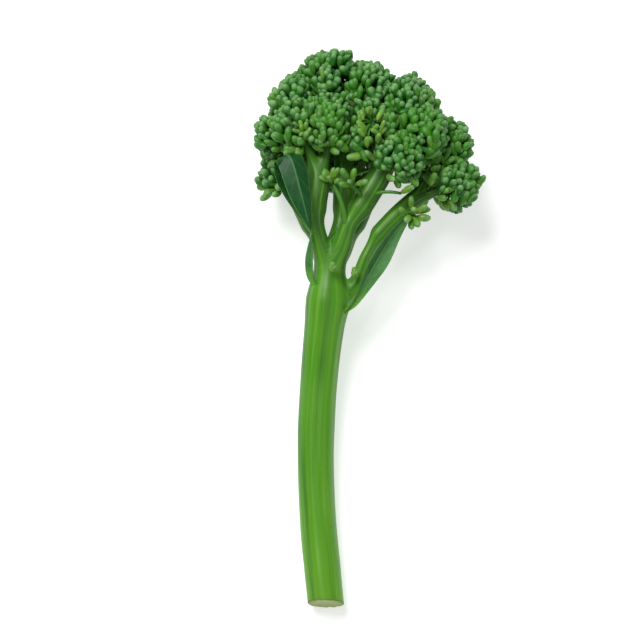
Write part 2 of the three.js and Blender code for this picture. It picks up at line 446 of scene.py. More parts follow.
budColours = {
    "foot": linear(56, 128, 22), "flank": linear(28, 101, 28), "tip": linear(74, 140, 66),
    "warm": linear(74, 144, 32), "ripeFoot": linear(160, 200, 76), "ripeTip": linear(110, 164, 60),
    "patch": linear(28, 90, 34), "bloom": linear(152, 198, 130), "stalk": linear(76, 136, 44),
    "paintedShade": linear(6, 52, 3), "brown": linear(86, 66, 34),
}


def budMaterial(mottle, bloom):
    made, p, skin = newMaterial("Bud Skin", {**softSkin, "Specular IOR Level": 0.28,
                                             "Subsurface Scale": 0.0006})
    along, tone, ripe, depth = p.mark("along"), p.mark("tone"), p.mark("ripe"), p.mark("depth")
    foot = p.mix(p.remap(along, 0.05, 0.55), budColours["foot"], budColours["flank"])
    green = p.mix(p.remap(along, 0.6, 1.0), foot, budColours["tip"])
    toned = p.mix(p.remap(tone, 0.1, 1.0, 0.0, 0.85), green, budColours["warm"])
    ripeGreen = p.mix(p.remap(along, 0.1, 0.9), budColours["ripeFoot"], budColours["ripeTip"])
    mottled = p.group(mottle, **{"Colour": p.mix(ripe, toned, ripeGreen), "Patch Colour": budColours["patch"],
                                 "Patch Scale": 480.0, "Patch Amount": 0.3, "Fleck Amount": 0.2})["Colour"]
    # The bud tips get a pale waxy film: partly real bloom, partly a painted highlight on the tips.
    amount = p.math("MULTIPLY", p.remap(along, 0.55, 1.0), p.remap(tone, 0.0, 1.0, 0.72, 0.2))
    waxed = p.group(bloom, **{"Colour": mottled, "Bloom Colour": budColours["bloom"], "Amount": amount,
                              "Scale": 500.0})
    stalked = p.mix(p.mark("stalk"), waxed["Colour"], budColours["stalk"])
    # Painted shade: the depth mark pulls the heart buds, pedicels and branchlets towards a dark green,
    # standing in for the shade deep between the clusters.
    shaded = p.mix(p.remap(depth, 0.0, 1.0, 0.0, 0.9), stalked, budColours["paintedShade"])
    p.put(p.mix(p.mark("brown"), shaded, budColours["brown"]), skin["Base Color"])
    p.put(waxed["Roughness"], skin["Roughness"])
    p.put(p.bump(p.noise(p.place(), 2600, 3), 0.2, 0.00012), skin["Normal"])
    return made


leafColours = {
    "hanging": {"blade": linear(18, 62, 24), "patch": linear(28, 78, 34), "bloom": linear(70, 118, 88),
                "bloomAmount": 0.15, "vein": linear(82, 136, 80), "rim": linear(96, 142, 84)},
    "shoot": {"blade": linear(44, 102, 38), "patch": linear(58, 114, 52), "bloom": linear(100, 148, 100),
              "bloomAmount": 0.38, "vein": linear(112, 164, 88), "rim": linear(108, 156, 76)},
    "foot": linear(98, 158, 62),
}


def leafMaterial(name, colours, mottle, bloom):
    made, p, skin = newMaterial(name, {**softSkin, "Specular IOR Level": 0.18})
    vein, rim = p.mark("vein"), p.mark("rim")
    blade = p.mix(p.remap(p.noise(p.place(), 240, 4), 0.35, 0.68), colours["blade"], colours["patch"])
    mottled = p.group(mottle, **{"Colour": blade, "Patch Colour": colours["patch"], "Patch Scale": 160.0,
                                 "Patch Amount": 0.4, "Fleck Amount": 0.2})["Colour"]
    waxed = p.group(bloom, **{"Colour": mottled, "Bloom Colour": colours["bloom"],
                              "Amount": colours["bloomAmount"], "Scale": 300.0})
    veined = p.mix(vein, waxed["Colour"], colours["vein"])
    rimmed = p.mix(rim, veined, colours["rim"])
    p.put(p.mix(p.mark("foot"), rimmed, leafColours["foot"]), skin["Base Color"])
    p.put(waxed["Roughness"], skin["Roughness"])
    height = p.math("ADD", p.noise(p.place(), 900, 4), p.math("MULTIPLY", vein, 0.8))
    p.put(p.bump(height, 0.35, 0.00022), skin["Normal"])
    return made


mottle, bloom = mottleGroup(), bloomGroup()
stemSkin = stemMaterial(mottle, bloom)
budSkin = budMaterial(mottle, bloom)
print("materials made")


# The stem, with the branches, the shoot and the stalks of the florets grown into it.
stemValues = {"cuts": 44, "margin": 0.004, "endRows": 3, "roundedTop": 4 * mm, "evening": (4, 0.6),
              "taper": 0.46, "taperLength": 15 * mm, "spacing": 0.6 * mm, "sides": 64, "voxel": 0.4 * mm,
              "blend": 1.15 * mm, "settling": 4, "relaxing": (3, 0.3), "ridge": 0.07 * mm,
              "lump": 0.112 * mm, "lumpSize": 9 * mm}
cutValues = {"flat": 0.5 * mm, "edge": 0.4 * mm, "softness": 0.25 * mm, "dip": 0.4 * mm,
             "ragged": 0.14 * mm, "slant": (-0.12, 0.15), "slantLength": 12 * mm}
branchValues = {"cuts": 12, "tuck": 15 * mm, "inside": 0.55, "bulge": 1.3 * mm, "tipLength": 0.5 * mm,
                "footRadii": (1.0, 1.14), "widest": 1.05, "spacing": 0.5 * mm, "sides": 28}
floretStalkValues = {"start": 0.55, "footShare": 0.78, "tip": 1.15 * mm, "reach": 0.5, "below": 1.5 * mm,
                     "beside": 1.2 * mm, "bend": (0.55, 0.6)}


# The stem's line and half widths from the cut end up, drawn in at the fork where the branches leave.
def stemSpine():
    line, width, thickness = spineOf("main_stem", stemValues["cuts"], np.array([0, 1, 0]),
                                     stemValues["margin"])
    low, high = (corner.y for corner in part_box("main_stem"))
    below = line[:, 1] < high - stemValues["roundedTop"]
    line, width, thickness = (values[below][stemValues["endRows"]:] for values in (line, width, thickness))
    rounds, amount = stemValues["evening"]
    for _ in range(rounds):
        for values in (line, width, thickness):
            values[1:-1] += ((values[:-2] + values[2:]) / 2 - values[1:-1]) * amount
    fork = smoothStep(line[:, 1], line[-1, 1] - stemValues["taperLength"], line[-1, 1])
    taper = 1 - stemValues["taper"] * fork
    width, thickness = width * taper, thickness * taper
    lead = (line[0] - line[5]) * (line[0, 1] - low) / (line[5, 1] - line[0, 1])
    return np.vstack([line[0] + lead, line]), np.append(width[0], width), np.append(thickness[0], thickness)


# A branch starts inside the stem, bulges as it comes out and then follows its node to the tip.
def branchSpine(name, stemLine, stemWidth):
    route, halfWidth, halfThickness = spineOf(name, branchValues["cuts"])
    radius = (halfWidth + halfThickness) / 2
    foot, usual = route[2], radius[3]
    nearest = np.argmin(np.abs(stemLine[:, 1] - (foot[1] - branchValues["tuck"])))
    lean = unit(foot - stemLine[np.argmin(np.linalg.norm(stemLine - foot, axis=1))])
    inside = stemLine[nearest] + lean * branchValues["inside"] * stemWidth[nearest]
    between = blendBetween(inside, foot, 0.5) + lean * branchValues["bulge"]
    tip = route[-1] + unit(route[-1] - route[-3]) * branchValues["tipLength"]
    footRadii = usual * np.array(branchValues["footRadii"])
    return (np.vstack([inside, between, route[2:-1], tip]),
            np.concatenate([footRadii, np.minimum(radius[2:], usual * branchValues["widest"])]))


# The stalk of a floret leaves its branch below the tip and bends towards the middle of the floret.
def floretStalk(branchLine, branchRadius, floret):
    values = floretStalkValues
    start = branchLine[int(len(branchLine) * values["start"])]
    tip, heading = branchLine[-1], unit(branchLine[-1] - branchLine[-3])
    points = meshPoints(nodeMesh(floret))
    growth = unit(points.mean(0) - tip)
    split = tip + growth * ((points - tip) @ growth).max() * values["reach"]
    place, thinning = values["bend"]
    route = np.array([start, tip - heading * values["below"] + growth * values["beside"],
                      blendBetween(tip, split, place), split])
    foot = branchRadius[-2] * values["footShare"]
    return route, np.array([foot, foot, blendBetween(foot, values["tip"], thinning), values["tip"]])


def evenLimb(line, width, thickness, spacing):
    steps = lengthsAlong(line)
    count = max(8, int(steps[-1] / spacing))
    at = np.linspace(0, steps[-1], count)
    return smoothLine(line, count), np.interp(at, steps, width), np.interp(at, steps, thickness)


def growLimbs():
    line, width, thickness = stemSpine()
    limbs = {"main_stem": evenLimb(line, width, thickness, stemValues["spacing"])}
    for branch, carried in carriedBy.items():
        route, radius = branchSpine(branch, line, width)
        limbs[branch] = evenLimb(route, radius, radius, branchValues["spacing"])
        for floret in carried:
            stalk, stalkRadius = floretStalk(route, radius, floret)
            limbs[floret] = evenLimb(stalk, stalkRadius, stalkRadius, branchValues["spacing"])
    return limbs


# A rounded end for a limb: rings that shrink past the last point.
def roundedLimb(line, width, thickness):
    turn = np.linspace(0, math.pi / 2, 7)[1:]
    ahead = line[-1] + unit(line[-1] - line[-2]) * (width[-1] * np.sin(turn))[:, None]
    shrink = np.maximum(np.cos(turn), 0.02)
    return (np.vstack([line, ahead]), np.append(width, width[-1] * shrink),
            np.append(thickness, thickness[-1] * shrink))


def remeshed(piece, voxel):
    change = piece.modifiers.new("Join", "REMESH")
    change.mode = "VOXEL"
    change.voxel_size = voxel
    change.use_smooth_shade = True
    seen = piece.evaluated_get(bpy.context.evaluated_depsgraph_get())
    mesh = bpy.data.meshes.new_from_object(seen)
    bpy.data.objects.remove(piece)
    return mesh


# How far each point is outside each limb, and the nearest place on that limb's line.
def placeOnLimbs(points, limbs):
    farAway, atOnce = 1.0, 6000
    depth = np.full((len(limbs), len(points)), farAway)
    nearest = np.zeros((len(limbs), len(points)), int)
    for row, (line, width, thickness) in enumerate(limbs.values()):
        reach = width.max() + 6 * mm
        inReach = (points > line.min(0) - reach) & (points < line.max(0) + reach)
        close = np.flatnonzero(np.all(inReach, axis=1))
        for start in range(0, len(close), atOnce):
            some = close[start:start + atOnce]
            far = np.linalg.norm(points[some, None] - line[None], axis=2) - (width + thickness) / 2
            nearest[row, some] = far.argmin(1)
            depth[row, some] = far.min(1)
    return depth, nearest


# Moves points onto one smooth skin round all limbs, with a fillet where two of them meet.
def settledOnSkin(points, limbs, fixed):
    blend = stemValues["blend"]
    for _ in range(stemValues["settling"]):
        depth, nearest = placeOnLimbs(points, limbs)
        share = np.exp(-np.clip(depth, -20 * mm, 50 * mm) / blend)
        total = share.sum(0)
        height = -blend * np.log(total)
        slope = np.zeros_like(points)
        for row, (line, _, _) in enumerate(limbs.values()):
            slope += unit(points - line[nearest[row]]) * (share[row] / total)[:, None]
        length = np.maximum(np.linalg.norm(slope, axis=1), 0.35)
        points = points - slope * (height / length ** 2 * ~fixed)[:, None]
    return points


def neighbourMean(points, edges):
    total = np.zeros_like(points)
    count = np.bincount(edges.ravel(), minlength=len(points))
    for k in range(3):
        total[:, k] = (np.bincount(edges[:, 0], points[edges[:, 1], k], len(points))
                       + np.bincount(edges[:, 1], points[edges[:, 0], k], len(points)))
    return total / count[:, None]


# Where each point is round its limb and, in centimetres, along it, blended where limbs meet.
def grainOf(points, limbs, depth, nearest):
    share = np.exp(-np.clip(depth - depth.min(0), 0, 50 * mm) / stemValues["blend"])
    share /= share.sum(0)
    grain = np.zeros((len(points), 3))
    for row, (line, _, _) in enumerate(limbs.values()):
        index = nearest[row]
        _, side, out = lineFrames(line)
        away = points - line[index]
        angle = np.arctan2(np.sum(away * out[index], 1), np.sum(away * side[index], 1))
        own = np.stack([np.cos(angle), np.sin(angle), points[:, 1] / mm / 10], axis=1)
        grain += own * share[row][:, None]
    return grain


# The limbs as tubes joined into one mesh, smoothed everywhere but on the flat cut face.
def joinedLimbs(limbs, first, heading):
    gathered = Gathered()
    for name, limb in limbs.items():
        values = stemValues if name == "main_stem" else branchValues
        gathered.add(*tube(*roundedLimb(*limb), values["sides"]))
    mesh = remeshed(gathered.build("stem_rough"), stemValues["voxel"])
    points, edges = meshPoints(mesh), meshEdges(mesh)
    onFace = (points - first) @ heading < cutValues["flat"]
    points = settledOnSkin(points, limbs, onFace)
    rounds, amount = stemValues["relaxing"]
    for _ in range(rounds):
        points += (neighbourMean(points, edges) - points) * amount * ~onFace[:, None]
    mesh.vertices.foreach_set("co", points.astype(np.float32).ravel())
    mesh.update()
    return mesh, points


def makeStem():
    limbs = growLimbs()
    stemLine, stemWidth, _ = limbs["main_stem"]
    first, heading = stemLine[0], unit(stemLine[3] - stemLine[0])
    mesh, points = joinedLimbs(limbs, first, heading)
    normals = meshPoints(mesh, "normal")

    depth, nearest = placeOnLimbs(points, limbs)
    joint = 1 - smoothStep(np.sort(depth, axis=0)[1], 0.2 * mm, 1.5 * mm)
    grain = grainOf(points, limbs, depth, nearest)
    along = (points[:, 1] - cadBox[0].y) / (cadBox[1].y - cadBox[0].y)
    ridges = wander(grain * (2.6, 2.6, 0.25), 3, 3) * stemValues["ridge"]
    lumps = wander(points / stemValues["lumpSize"], 4, 2) * stemValues["lump"]

    # The cut face is dished, ragged and a little oblique.
    height = (points - first) @ heading
    fromMiddle = np.linalg.norm(points - first - height[:, None] * heading, axis=1) / stemWidth[0]
    cutFace = smoothStep(cutValues["edge"] - height, 0, cutValues["softness"]) * (fromMiddle < 1.1)
    dip = cutValues["dip"] * (1 - smoothStep(fromMiddle, 0.2, 0.85)) * cutFace
    ragged = wander(points / mm * 1.1, 8, 3) * cutValues["ragged"] * cutFace
    low = 1 - smoothStep(height, 0, cutValues["slantLength"])
    slant = (points[:, [0, 2]] - (first[0], cadBox[0].z)) @ np.array(cutValues["slant"]) * low
    points += normals * ((ridges + lumps) * (1 - cutFace))[:, None]
    points[:, 1] += dip + ragged + slant
    points[:, 2] = np.maximum(points[:, 2], 0.02 * mm)
    mesh.vertices.foreach_set("co", points.astype(np.float32).ravel())
    for name, values in {"along": along, "joint": joint, "cutFace": cutFace, "fromMiddle": fromMiddle,
                         "grain": grain}.items():
        setMark(mesh, name, values)
    mesh.update()
    piece = bpy.data.objects.new("stem_and_branches", mesh)
    bpy.context.scene.collection.objects.link(piece)
    mesh.materials.clear()
    mesh.materials.append(stemSkin)
    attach(piece, "root")
    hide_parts("main_stem", *carriedBy)
    print(f"stem: {len(mesh.polygons)} faces")
    return limbs


limbLines = makeStem()


# The florets: clusters of buds, or umbels, with a skirt of longer buds below and a crowded heart.
budValues = {"sides": 9, "rings": 7, "width": 2.8 * mm, "length": 4.75 * mm, "lean": 0.1}
umbelValues = {"radius": 5.1 * mm, "spacing": 5.7 * mm, "sunk": (3.7 * mm, 5.8 * mm), "buds": 27,
               "widest": 96, "tries": 520, "searched": 132, "heart": 0.58, "gap": 0.5 * mm,
               "size": (0.86, 1.12), "underside": 0.62, "poking": 0.1, "upward": 0.5, "clear": 0.74,
               "lowestHead": 1.2 * mm, "lowestFoot": 1.5 * mm, "aboveBox": 0.6 * mm, "browned": 0.008,
               "yellowSize": (0.72, 0.85), "jointBelow": 1.4 * mm}
skirtValues = {"buds": 20, "length": 5.6 * mm, "width": 2.7 * mm, "drop": 6.0 * mm, "clear": 0.62,
               "lowestHead": 1.5 * mm, "lowestFoot": 1.8 * mm}
heartValues = {"sides": 6, "rings": 4, "buds": 240, "widest": 150, "sunk": 4.2 * mm, "least": 1.5 * mm,
               "footBelow": 2.2 * mm, "width": 2.6 * mm, "lowestFoot": 2.4 * mm}
branchletValues = {"foot": 1.0 * mm, "tip": 0.6 * mm, "pedicel": 0.36 * mm}
sameSpot = 0.1 * mm

# Clusters that are turning yellow: the floret, and where in its box, as shares of its sides.
yellowPlaces = [("top_left_floret", (0.75, 0.35, 0.95)), ("front_right_floret", (0.3, 0.45, 0.95))]


# One bud, standing on the origin and one unit high and wide: four sepals that close over its blunt tip.
def budShape(sides, rings):
    t = (1 - np.cos(np.linspace(0, math.pi, rings + 1)[1:-1])) / 2
    profile = np.sqrt(np.clip(1 - (2 * t ** 1.3 - 1) ** 2, 0, 1))
    angle = np.linspace(0, 2 * math.pi, sides, endpoint=False)
    seam = np.abs(np.cos(2 * angle)) ** 4
    radius = 0.5 * profile[:, None] * (1 - 0.11 * seam[None] * smoothStep(t, 0.25, 0.8)[:, None])
    points = np.stack([radius * np.cos(angle), radius * np.sin(angle),
                       np.broadcast_to(t[:, None], radius.shape)], axis=-1).reshape(-1, 3)
    points = np.vstack([points, [[0, 0, 0], [0, 0, 0.985]]])
    along = np.concatenate([np.repeat(t, sides), [0, 1]])
    return points, ringFaces(rings - 1, sides), endFans(rings - 1, sides), along


fineBud = budShape(budValues["sides"], budValues["rings"])
coarseBud = budShape(heartValues["sides"], heartValues["rings"])


# Two directions across each of the given directions.
def across(ways, turn):
    helper = np.where(np.abs(ways[:, 2:3]) < 0.8, [[0.0, 0.0, 1.0]], [[1.0, 0.0, 0.0]])
    a = unit(np.cross(ways, helper))
    b = np.cross(ways, a)
    return (a * np.cos(turn)[:, None] + b * np.sin(turn)[:, None],
            b * np.cos(turn)[:, None] - a * np.sin(turn)[:, None])


# Many copies of a bud at once. Each has a foot, a way it points, a width, a length and its marks.
def addBuds(gathered, foot, way, width, length, shape=fineBud, **marks):
    budPoints, budQuads, budFans, budAlong = shape
    n, m = len(foot), len(budPoints)
    a, b = across(way, rng.uniform(0, 2 * math.pi, n))
    squeeze = rng.uniform(0.86, 1.06, n)
    lean = rng.normal(0, budValues["lean"], n)[:, None] * (budPoints[None, :, 2] ** 2)
    local = budPoints[None] * np.stack([width, width * squeeze, length], axis=1)[:, None]
    sideways = local[..., :1] + (lean * length[:, None])[..., None]
    points = (foot[:, None] + sideways * a[:, None] + local[..., 1:2] * b[:, None]
              + local[..., 2:] * way[:, None]).reshape(-1, 3)
    shift = (np.arange(n) * m)[:, None, None]
    spread = {key: np.repeat(np.broadcast_to(value, (n,)), m) for key, value in marks.items()}
    if "brown" in spread:
        spread["brown"] = spread["brown"] * np.tile(budAlong > 0.95, n)
    gathered.add(points, (budQuads[None] + shift).reshape(-1, 4), (budFans[None] + shift).reshape(-1, 3),
                 along=np.tile(budAlong, n), **spread)


# Many thin bent stalks at once, from start to end, leaving along way. Their depth mark sets how much painted
# shade they get.
def addStalks(gathered, start, end, way, footRadius, tipRadius, sides, steps, depth=0.0):
    n = len(start)
    t = np.linspace(0, 1, steps + 1)[None, :, None]
    bend = start + way * np.linalg.norm(end - start, axis=1)[:, None] * 0.5
    line = (1 - t) ** 2 * start[:, None] + 2 * t * (1 - t) * bend[:, None] + t * t * end[:, None]
    a, b = across(unit(end - start), np.zeros(n))
    angle = np.linspace(0, 2 * math.pi, sides, endpoint=False)[None, :, None]
    ringShape = np.cos(angle) * a[:, None] + np.sin(angle) * b[:, None]
    radius = blendBetween(footRadius, tipRadius, t)[..., None]
    points = (line[:, :, None] + radius * ringShape[:, None]).reshape(-1, 3)
    shift = (np.arange(n) * (steps + 1) * sides)[:, None, None]
    outwards = ringFaces(steps + 1, sides)[:, [0, 3, 2, 1]]
    gathered.add(points, (outwards[None] + shift).reshape(-1, 4), stalk=1.0, along=0.5, depth=depth)


# Points spread evenly over a cap of a unit sphere about +Z, as far out as widest degrees.
def capWays(count, widest):
    k = np.arange(count)
    height = 1 - (1 - math.cos(math.radians(widest))) * (k + 0.5) / count
    ring = np.sqrt(1 - height ** 2)
    return np.stack([ring * np.cos(k * goldenAngle), ring * np.sin(k * goldenAngle), height], axis=1)


def turned(local, way, turn):
    a, b = across(way[None], np.array([turn]))
    return local[:, :1] * a + local[:, 1:2] * b + local[:, 2:] * way[None]


# Where the clusters of buds of a floret go: over its outer skin, but not where a neighbour stands.
def umbelPlaces(floret, tip, trees, taken):
    points = meshPoints(nodeMesh(floret))
    growth = unit(points.mean(0) - tip)
    heart = tip + growth * ((points - tip) @ growth).max() * umbelValues["heart"]
    ways = turned(capWays(umbelValues["tries"], umbelValues["searched"]), growth, rng.uniform(0, 6))
    found = []
    for way in ways:
        hit, normal, _, distance = trees[floret].ray_cast(Vector(heart), Vector(way))
        if hit is None:
            continue
        beside = min(trees[other].find_nearest(hit)[3] for other in trees if other != floret)
        if beside < umbelValues["gap"]:
            continue
        outward = unit(unit(np.array(normal)) * 0.5 + way * 0.7 + growth * 0.3)
        centre = np.array(hit) - way * min(rng.uniform(*umbelValues["sunk"]), distance * 0.65)
        spacing = umbelValues["spacing"] * rng.uniform(0.85, 1.15)
        if all(np.linalg.norm(centre - other) > spacing for other in taken):
            taken.append(centre)
            found.append((centre, outward))
    return heart, growth, found


# One cluster. Openness is 0 over the dome and 1 at its underside, where the buds are longer and fewer.
def addUmbel(gathered, centre, outward, growth, split, centres, isYellow):
    values = umbelValues
    openness = smoothStep(outward @ growth, 0.25, -0.35)
    size = rng.uniform(*values["size"])
    count = int(values["buds"] * size * blendBetween(1, values["underside"], openness))
    local = unit(capWays(count, values["widest"]) + rng.normal(0, 0.12, (count, 3)))
    ways = turned(local, outward, rng.uniform(0, 6))
    rim = smoothStep(np.degrees(np.arccos(np.clip(local[:, 2], -1, 1))), 15, values["widest"])
    poking = rng.random(count) < values["poking"]
    radius = (values["radius"] * size * (1 + 0.12 * rim + 0.22 * poking + 0.1 * openness)
              * rng.uniform(0.88, 1.1, count))
    width = budValues["width"] * blendBetween(0.82, 1.04, rim) * rng.uniform(0.84, 1.14, count)
    length = (budValues["length"] * blendBetween(0.82, 1.12, rim) * rng.uniform(0.84, 1.16, count)
              * blendBetween(1, 1.28, openness))
    if isYellow:
        width, length = width * values["yellowSize"][0], length * values["yellowSize"][1]
    pointing = unit(ways * 0.7 + growth * 0.2 + np.array([0, values["upward"] * (1 - openness), 0])
                    + rng.normal(0, 0.2, ways.shape))
    head = centre + ways * radius[:, None]
    foot = head - pointing * length[:, None]
    others = centres[np.linalg.norm(centres - centre, axis=1) > sameSpot]
    near = np.linalg.norm(head[:, None] - others[None], axis=2).min(1)
    keep = ((near > values["radius"] * values["clear"]) & (head[:, 2] > values["lowestHead"])
            & (foot[:, 2] > values["lowestFoot"]) & (head[:, 2] < cadBox[1].z + values["aboveBox"]))
    ripe = np.clip(openness * rng.uniform(0.25, 0.85, count) + (rng.random(count) < 0.025) * 0.5
                   + 0.12 * rng.random(), 0, 1)
    if isYellow:
        ripe = rng.uniform(0.7, 1.0, count)
    tone = np.clip(rng.random() * 0.65 + rng.random(count) * 0.4, 0, 1)
    brown = (rng.random(count) < values["browned"]) * 0.8
    kept, foot, pointing = np.count_nonzero(keep), foot[keep], pointing[keep]
    addBuds(gathered, foot, pointing, width[keep], length[keep], tone=tone[keep], ripe=ripe[keep], depth=0.0,
            brown=brown[keep])
    joint = centre - outward * values["jointBelow"]
    pedicel = branchletValues["pedicel"]
    # The pedicels and the branchlet get some painted shade through their depth mark.
    addStalks(gathered, np.repeat(joint[None], kept, 0), foot + pointing * 0.3 * mm,
              unit(ways[keep] + outward), pedicel, pedicel * 1.15, 5, 3, depth=0.3)
    addStalks(gathered, (split - growth * 1.0 * mm)[None], (joint + outward * 0.6 * mm)[None], growth[None],
              branchletValues["foot"], branchletValues["tip"], 9, 8, depth=0.12)
    return kept


# Longer, looser buds round the underside of a floret, on stalks that show.
def addSkirt(gathered, heart, tree, growth, split, centres):
    values, count = skirtValues, skirtValues["buds"]
    angle = np.arange(count) * 2 * math.pi / count + rng.uniform(0, 0.3, count)
    circle = np.stack([np.cos(angle), np.sin(angle), np.zeros(count)], axis=1)
    around = turned(circle, growth, rng.uniform(0, 6))
    reach = np.array([tree.ray_cast(Vector(heart), Vector(way))[3] or 6 * mm for way in around])
    drop = values["drop"] * rng.uniform(0.15, 1.1, count)
    foot = heart + around * (reach * rng.uniform(0.42, 0.82, count))[:, None] - growth * drop[:, None]
    pointing = unit(around * 0.8 + growth * 0.3 + rng.normal(0, 0.22, around.shape))
    length = values["length"] * rng.uniform(0.75, 1.2, count)
    head = foot + pointing * length[:, None]
    near = np.linalg.norm(head[:, None] - centres[None], axis=2).min(1)
    keep = ((near > umbelValues["radius"] * values["clear"]) & (head[:, 2] > values["lowestHead"])
            & (foot[:, 2] > values["lowestFoot"]))
    kept, foot, pointing = np.count_nonzero(keep), foot[keep], pointing[keep]
    addBuds(gathered, foot, pointing, values["width"] * rng.uniform(0.85, 1.12, kept), length[keep],
            tone=rng.random(kept), ripe=rng.uniform(0.3, 0.85, kept), depth=0.0, brown=0.0)
    addStalks(gathered, np.repeat((split - growth * 0.5 * mm)[None], kept, 0), foot + pointing * 0.4 * mm,
              growth[None], 0.55 * mm, 0.45 * mm, 7, 7)


# The crowded young growth in the middle of a floret, seen only as darkness between the clusters. Its buds get
# a strong painted shade through their depth mark.
def addHeart(gathered, heart, tree, growth):
    values = heartValues
    ways = turned(capWays(values["buds"], values["widest"]), growth, 0.5)
    hits = np.array([tree.ray_cast(Vector(heart), Vector(way))[3] or 4 * mm for way in ways])
    radius = np.maximum(hits - values["sunk"], values["least"])
    foot = heart + ways * (radius - values["footBelow"])[:, None]
    keep = foot[:, 2] > values["lowestFoot"]
    kept = np.count_nonzero(keep)
    width = values["width"] * rng.uniform(0.85, 1.15, kept)
    addBuds(gathered, foot[keep], ways[keep], width, width * 1.3, coarseBud, tone=rng.random(kept), ripe=0.0,
            depth=0.85)


def makeFlorets():
    trees = {name: nodeTree(name) for names in carriedBy.values() for name in names}
    plans, taken = {}, []
    for branch, names in carriedBy.items():
        tip = limbLines[branch][0][-1]
        for name in names:
            plans[name] = (limbLines[name][0][-1], *umbelPlaces(name, tip, trees, taken))
    centres = np.array(taken)
    yellow = []
    for name, shares in yellowPlaces:
        low, high = nodeBox(name)
        place = low + (high - low) * np.array(shares)
        yellow.append(centres[np.linalg.norm(centres - place, axis=1).argmin()])
    budCount = 0
    for name, (split, heart, growth, umbels) in plans.items():
        gathered = Gathered()
        for centre, outward in umbels:
            isYellow = any(np.linalg.norm(centre - spot) < sameSpot for spot in yellow)
            budCount += addUmbel(gathered, centre, outward, growth, split, centres, isYellow)
        addSkirt(gathered, heart, trees[name], growth, split, centres)
        addHeart(gathered, heart, trees[name], growth)
        piece = gathered.build(f"{name}_of_buds")
        piece.data.materials.append(budSkin)
        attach(piece, "root")
        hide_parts(name)
    print(f"florets: {len(taken)} clusters, {budCount} buds")


makeFlorets()


# Single buds and small groups of long buds that stand clear of the florets. Each leaves a limb at
# a share of its length and reaches away from it. All their lengths are in millimetres.
sprayValues = {
    "yellow_bud_shoot": {"from": "right_branch", "share": 0.3, "reach": (-3.5, 18.5, 7), "buds": 8,
                         "long": 4.4, "wide": 2.3, "spread": 62, "ripe": 0.95, "thick": 0.75},
    "lone_pale_bud": {"from": "right_branch", "share": 0.72, "reach": (12.5, 2.5, 5), "buds": 1,
                      "long": 7.0, "wide": 3.0, "spread": 1, "ripe": 1.0, "thick": 0.55},
    "right_margin_buds": {"from": "right_shoot", "share": 0.84, "reach": (5.5, -1.5, 7), "buds": 9,
                          "long": 6.0, "wide": 2.5, "spread": 80, "ripe": 0.85, "thick": 0.8},
    "front_margin_buds": {"from": "right_branch", "share": 0.66, "reach": (-2.5, 6, 8), "buds": 5,
                          "long": 5.4, "wide": 2.3, "spread": 55, "ripe": 0.6, "thick": 0.6},
    "inner_green_buds": {"from": "centre_branch", "share": 0.86, "reach": (8.5, 8, -2), "buds": 14,
                         "long": 4.8, "wide": 2.6, "spread": 88, "ripe": 0.15, "thick": 0.8},
}


def makeSpray(name, values):
    line = limbLines[values["from"]][0]
    index = int(values["share"] * (len(line) - 1))
    start, heading = line[index], unit(line[index] - line[index - 4])
    end = start + np.array(values["reach"]) * mm
    gathered = Gathered()
    outward = unit(unit(end - start) + (0, 0, 0.25))
    addStalks(gathered, start[None], end[None], unit(heading + (0, 0, 0.5))[None], values["thick"] * 1.3 * mm,
              values["thick"] * mm, 12, 14)
    count = values["buds"]
    ways = turned(capWays(count, values["spread"]), outward, 1.0)
    ways = unit(ways + rng.normal(0, 0.12, ways.shape))
    length = values["long"] * mm * rng.uniform(0.82, 1.15, count)
    pedicel = (1.1 if count > 1 else 0.2) * mm * rng.uniform(0.7, 1.7, count)
    foot = end + ways * pedicel[:, None]
    addBuds(gathered, foot, ways, values["wide"] * mm * rng.uniform(0.85, 1.12, count), length,
            tone=rng.random(count), ripe=values["ripe"] * rng.uniform(0.75, 1.0, count), depth=0.0, brown=0.0)
    addStalks(gathered, np.repeat((end - outward * 0.4 * mm)[None], count, 0), foot + ways * 0.4 * mm, ways,
              0.42 * mm, 0.5 * mm, 7, 4)
    piece = gathered.build(name)
    piece.data.materials.append(budSkin)
    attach(piece, "root")


for name, values in sprayValues.items():
    makeSpray(name, values)
print("sprays made")


# The leaves. A route is a list of places in the leaf node's box, as shares of its sides. Root is
# where the leaf starts inside the stem, in millimetres from the first place.
leafShape = {"rows": 84, "columns": 37, "blade": 0.2 * mm, "petiole": 0.9 * mm, "midrib": 0.5 * mm,
             "veins": 0.05 * mm, "sideVeins": 9}
leafValues = {
    "hanging_leaf": {"route": [(0.79, 0.21, 0.04), (0.54, 0.47, 0.23), (0.3, 0.8, 0.53), (0.31, 1.02, 0.81),
                               (0.5, 0.92, 0.95), (0.74, 0.46, 0.88), (0.99, -0.04, 0.63)],
                     "root": (3.5, -4, -2.5), "halfWidth": 4.9 * mm, "fold": 22, "waves": 3,
                     "wave": 0.45 * mm, "widest": 1.3, "up": (0.1, -0.2, 1), "side": (0.92, 0.3, -0.2),
                     "paleFoot": (0.06, 0.3), "colours": "hanging"},
    "shoot_leaf": {"route": [(0.06, 0.02, 0.12), (0.34, 0.36, 0.5), (0.64, 0.7, 0.8), (0.97, 0.98, 0.86)],
                   "root": (-3.5, -3, -3.5), "halfWidth": 3.8 * mm, "fold": 34, "waves": 2, "wave": 0.4 * mm,
                   "widest": 1.1, "up": (0.5, -0.3, 1), "paleFoot": (0.12, 0.36), "colours": "shoot"},
    "left_bract": {"route": [(1.9, 0.06, -0.15), (1.75, 0.36, 0.1), (1.75, 0.66, 0.35), (1.75, 0.99, 0.65)],
                   "root": (2.8, -2.5, -1.5), "halfWidth": 2.4 * mm, "fold": 35, "waves": 1,
                   "wave": 0.15 * mm, "widest": 0.9, "up": (-1, 0, 0.8), "paleFoot": (0.15, 0.5),
                   "colours": "shoot"},
}


